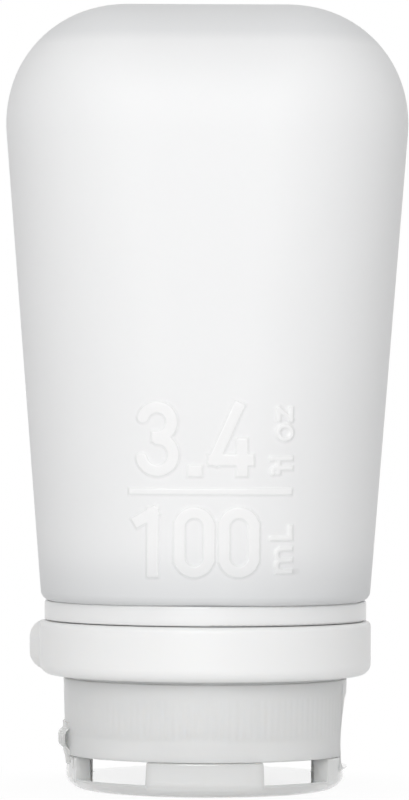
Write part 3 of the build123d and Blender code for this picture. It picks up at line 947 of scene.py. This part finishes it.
class BOTTLE_OT_body(bpy.types.Operator):
    """Build the frosted silicone body with its raised capacity marks"""

    bl_idname = "bottle.body"
    bl_label = "Silicone Body"

    def execute(self, context):
        finishes = context.scene.bottle_finishes
        # The polished marks get a painted brightness, and the shoulder and base a painted shade.
        material = finish("frosted silicone", finishes.body_colour, 0.46, transmission=0.12, ior=1.36,
                          absorb=finishes.body_absorb, density=finishes.body_density, grain=1800.0,
                          grain_height=0.3, marked=(finishes.painted_mark_brightness, finishes.painted_shade_tint))
        body = body_piece(context.scene.bottle_body)
        dress(body, "bottle", material, "clear_silicone", "silicone_bottle")
        return {"FINISHED"}


class BOTTLE_OT_neck(bpy.types.Operator):
    """Finish the neck collar and sleeve, and add the screw thread of the collar"""

    bl_idname = "bottle.neck"
    bl_label = "Neck Collar"

    def execute(self, context):
        sizes, finishes = context.scene.bottle_closure, context.scene.bottle_finishes
        material = finish("collar plastic", finishes.collar_colour, 0.32, subsurface=0.5, coat=0.15)
        for node in ("neck_collar", "neck_sleeve"):
            coat_with(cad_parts[node], material)
        thread_gap, low = 0.7 * MM, 11.5 * MM
        thread = helix("collar_thread", cap_high.y - sizes.cap_wall - thread_gap, low, 0.0, sizes)
        dress(thread, "bottle", material, "white_plastic")
        return {"FINISHED"}


class BOTTLE_OT_ring(bpy.types.Operator):
    """Build the white ring with its hanging loop"""

    bl_idname = "bottle.ring"
    bl_label = "Loop Ring"

    def execute(self, context):
        tint = context.scene.bottle_finishes.ring_colour
        material = finish("white silicone", tint, 0.42, subsurface=0.5, shade=0.02, coat=0.1)
        dress(ring_piece(context.scene.bottle_closure), "ring", material, "white_silicone", "loop_ring")
        return {"FINISHED"}


class BOTTLE_OT_cap(bpy.types.Operator):
    """Build the ribbed screw cap and its inner thread"""

    bl_idname = "bottle.cap"
    bl_label = "Screw Cap"

    def execute(self, context):
        sizes, finishes = context.scene.bottle_closure, context.scene.bottle_finishes
        material = finish("milky plastic", finishes.cap_colour, 0.3, transmission=0.25, ior=1.35,
                          absorb=finishes.clear_absorb, density=finishes.cap_density, subsurface=0.5)
        dress(cap_piece(sizes), "cap", material, "milky_plastic", "cap_shell")
        low = 9.5 * MM
        thread = helix("cap_thread", cap_high.y - sizes.cap_wall, low, 0.5, sizes, inward=True)
        dress(thread, "cap", material, "milky_plastic")
        return {"FINISHED"}


class BOTTLE_OT_valve(bpy.types.Operator):
    """Build the slit valve and the mouth's seal, and finish the valve's retainer"""

    bl_idname = "bottle.valve"
    bl_label = "Valve and Seal"

    def execute(self, context):
        sizes, finishes = context.scene.bottle_closure, context.scene.bottle_finishes
        material = finish("valve silicone", finishes.valve_colour, 0.35, transmission=0.3, ior=1.41,
                          subsurface=0.1)
        dress(valve_piece(sizes), "cap", material, "valve_silicone", "no_drip_valve")
        seal = finish("seal silicone", finishes.ring_colour, 0.4, subsurface=0.15)
        dress(seal_piece(), "seal", seal, "white_silicone", "seal_ring")
        retainer = finish("retainer plastic", finishes.collar_colour, 0.35)
        coat_with(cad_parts["valve_retainer"], retainer)
        return {"FINISHED"}


class BOTTLE_OT_hinge(bpy.types.Operator):
    """Build the bowed living hinge between cap and lid"""

    bl_idname = "bottle.hinge"
    bl_label = "Living Hinge"

    def execute(self, context):
        finishes = context.scene.bottle_finishes
        material = finish("hinge plastic", finishes.cap_colour, 0.25, transmission=0.5, ior=1.35,
                          absorb=finishes.clear_absorb, density=finishes.cap_density)
        strap = strap_piece(context.scene.bottle_closure)
        dress(strap, None, material, "milky_plastic", "hinge_strap")
        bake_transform(strap)
        return {"FINISHED"}


class BOTTLE_OT_lid(bpy.types.Operator):
    """Build the clear flip lid with its legs, windows, plug, lip and snap tongue"""

    bl_idname = "bottle.lid"
    bl_label = "Flip Lid"

    def execute(self, context):
        sizes, finishes = context.scene.bottle_closure, context.scene.bottle_finishes
        material = finish("clear lid plastic", finishes.lid_colour, 0.1, transmission=0.3, ior=1.38,
                          unevenness=0.03, absorb=finishes.clear_absorb, density=finishes.lid_density,
                          subsurface=0.5, coat=1.0)
        dress(lid_piece(sizes), "lid", material, "clear_plastic", "flip_lid")
        dress(tongue_piece(sizes), "lid", material, "clear_plastic")
        return {"FINISHED"}


class BOTTLE_OT_stage(bpy.types.Operator):
    """Set up the pale floor, the soft light and the camera"""

    bl_idname = "bottle.stage"
    bl_label = "Studio"

    def execute(self, context):
        studio = context.scene.bottle_studio
        context.scene.view_settings.view_transform = "Standard"
        set_world(context.scene, studio)
        set_floor(studio)
        set_key(context.scene, studio)
        set_camera(context.scene, studio)
        return {"FINISHED"}


def seen_directly(nodes, links):
    """1 for rays that show the backdrop as it is: camera, glossy and transmission rays."""
    path = nodes.new("ShaderNodeLightPath")
    either = maths(nodes, links, "MAXIMUM", path.outputs["Is Camera Ray"], path.outputs["Is Glossy Ray"])
    return maths(nodes, links, "MAXIMUM", either, path.outputs["Is Transmission Ray"])


def set_world(scene, studio):
    """White backdrop where it is seen, and even ambient light on matt surfaces."""
    world = bpy.data.worlds.new("studio world")
    world.use_nodes = True
    nodes, links = world.node_tree.nodes, world.node_tree.links
    background = nodes["Background"]
    background.inputs["Color"].default_value = (1, 1, 1, 1)
    seen = seen_directly(nodes, links)
    strength = maths(nodes, links, "MULTIPLY_ADD", seen, 1.0 - studio.ambient, studio.ambient)
    links.new(strength, background.inputs["Strength"])
    world.cycles.sampling_method = "NONE"
    scene.world = world


def set_floor(studio):
    """Floor disc that looks white, lights the object softly from below and keeps a faint shadow near it."""
    columns, thickness, below = 96, 0.1 * MM, 0.02 * MM
    radius = np.array([0.0, 0.03, 0.06, 0.12, 0.3, 3.0])[:, None] * np.ones(columns)
    points = turned(np.stack([radius, 0 * radius - below], axis=-1), full_turn(columns))
    under = points[-1:].mean(axis=1, keepdims=True).repeat(columns, 1) - thickness
    floor = skin("floor", np.concatenate([points, under])[:, ::-1])
    floor.data.materials.append(floor_material(studio))


def floor_material(studio):
    """Matt to the light that it passes on, and glowing white where it is seen, less a share of shadow."""
    material = bpy.data.materials.new("pale floor")
    material.use_nodes = True
    nodes, links = material.node_tree.nodes, material.node_tree.links
    nodes.remove(nodes["Principled BSDF"])
    matt, glow, mix = (nodes.new(f"ShaderNode{kind}") for kind in ("BsdfDiffuse", "Emission", "MixShader"))
    matt.inputs["Color"].default_value = (0.92, 0.92, 0.92, 1)
    place, distance = nodes.new("ShaderNodeTexCoord"), nodes.new("ShaderNodeVectorMath")
    distance.operation = "LENGTH"
    links.new(place.outputs["Object"], distance.inputs[0])
    fade = nodes.new("ShaderNodeMapRange")
    fade.interpolation_type = "SMOOTHSTEP"
    ends = (studio.shade_start, studio.shade_end, studio.floor_shade, 0.0)
    for label, value in zip(("From Min", "From Max", "To Min", "To Max"), ends):
        fade.inputs[label].default_value = value
    links.new(distance.outputs["Value"], fade.inputs["Value"])
    white = maths(nodes, links, "SUBTRACT", 1.0, fade.outputs["Result"])
    shown = maths(nodes, links, "MULTIPLY", white, seen_directly(nodes, links))
    links.new(shown, mix.inputs["Fac"])
    links.new(matt.outputs["BSDF"], mix.inputs[1])
    links.new(glow.outputs["Emission"], mix.inputs[2])
    links.new(mix.outputs["Shader"], nodes["Material Output"].inputs["Surface"])
    material.cycles.emission_sampling = "NONE"
    return material


def set_key(scene, studio):
    """Large soft light at the front left, aimed at the bottle's middle."""
    light = bpy.data.lights.new("key light", "AREA")
    light.shape, light.size, light.size_y = "RECTANGLE", studio.key_width, studio.key_height
    light.energy = studio.key_power
    lamp = bpy.data.objects.new("key light", light)
    scene.collection.objects.link(lamp)
    aim, turn, lift, away = 50.0 * MM, studio.key_turn, studio.key_lift, studio.key_distance
    side = -away * math.cos(lift)
    lamp.location = (side * math.sin(turn), side * math.cos(turn), aim + away * math.sin(lift))
    lamp.rotation_euler = (math.pi / 2 - lift, 0, -turn)


def set_camera(scene, studio):
    """Level camera in front of the bottle. The picture's height in pixels spans the sensor's long side."""
    picture_height, focal_pixels, horizon_drop = 800, 4700, 10
    camera = bpy.data.cameras.new("camera")
    camera.sensor_width = 36.0
    camera.lens = camera.sensor_width * focal_pixels / picture_height
    camera.shift_y = horizon_drop / picture_height
    eye = bpy.data.objects.new("camera", camera)
    scene.collection.objects.link(eye)
    eye.location = (studio.camera_side, -studio.camera_distance, studio.camera_height)
    eye.rotation_euler = (math.pi / 2, studio.camera_roll, 0)
    camera.clip_start, camera.clip_end = 0.01, 20.0
    scene.camera = eye


PIECES = (BOTTLE_OT_body, BOTTLE_OT_neck, BOTTLE_OT_ring, BOTTLE_OT_cap, BOTTLE_OT_valve, BOTTLE_OT_hinge,
          BOTTLE_OT_lid, BOTTLE_OT_stage)
SETTINGS = {"bottle_body": BodySizes, "bottle_closure": ClosureSizes, "bottle_finishes": Finishes,
            "bottle_studio": Studio}


class BOTTLE_PT_panel(bpy.types.Panel):
    """Lists the operators and the sizes of the bottle"""

    bl_idname = "BOTTLE_PT_panel"
    bl_label = "Travel Bottle"
    bl_space_type = "VIEW_3D"
    bl_region_type = "UI"
    bl_category = "Bottle"

    def draw(self, context):
        for piece in PIECES:
            self.layout.operator(piece.bl_idname)
        for label in SETTINGS:
            box = self.layout.box()
            group = getattr(context.scene, label)
            for key in group.__annotations__:
                box.prop(group, key)


def register():
    for group in SETTINGS.values():
        bpy.utils.register_class(group)
    for label, group in SETTINGS.items():
        setattr(bpy.types.Scene, label, PointerProperty(type=group))
    for piece in (*PIECES, BOTTLE_PT_panel):
        bpy.utils.register_class(piece)


def unregister():
    for piece in reversed((*PIECES, BOTTLE_PT_panel)):
        bpy.utils.unregister_class(piece)
    for label in SETTINGS:
        delattr(bpy.types.Scene, label)
    for group in reversed(SETTINGS.values()):
        bpy.utils.unregister_class(group)


def main():
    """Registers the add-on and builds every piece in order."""
    register()
    for piece in PIECES:
        family, action = piece.bl_idname.split(".")
        getattr(getattr(bpy.ops, family), action)()


if __name__ == "__main__":
    main()
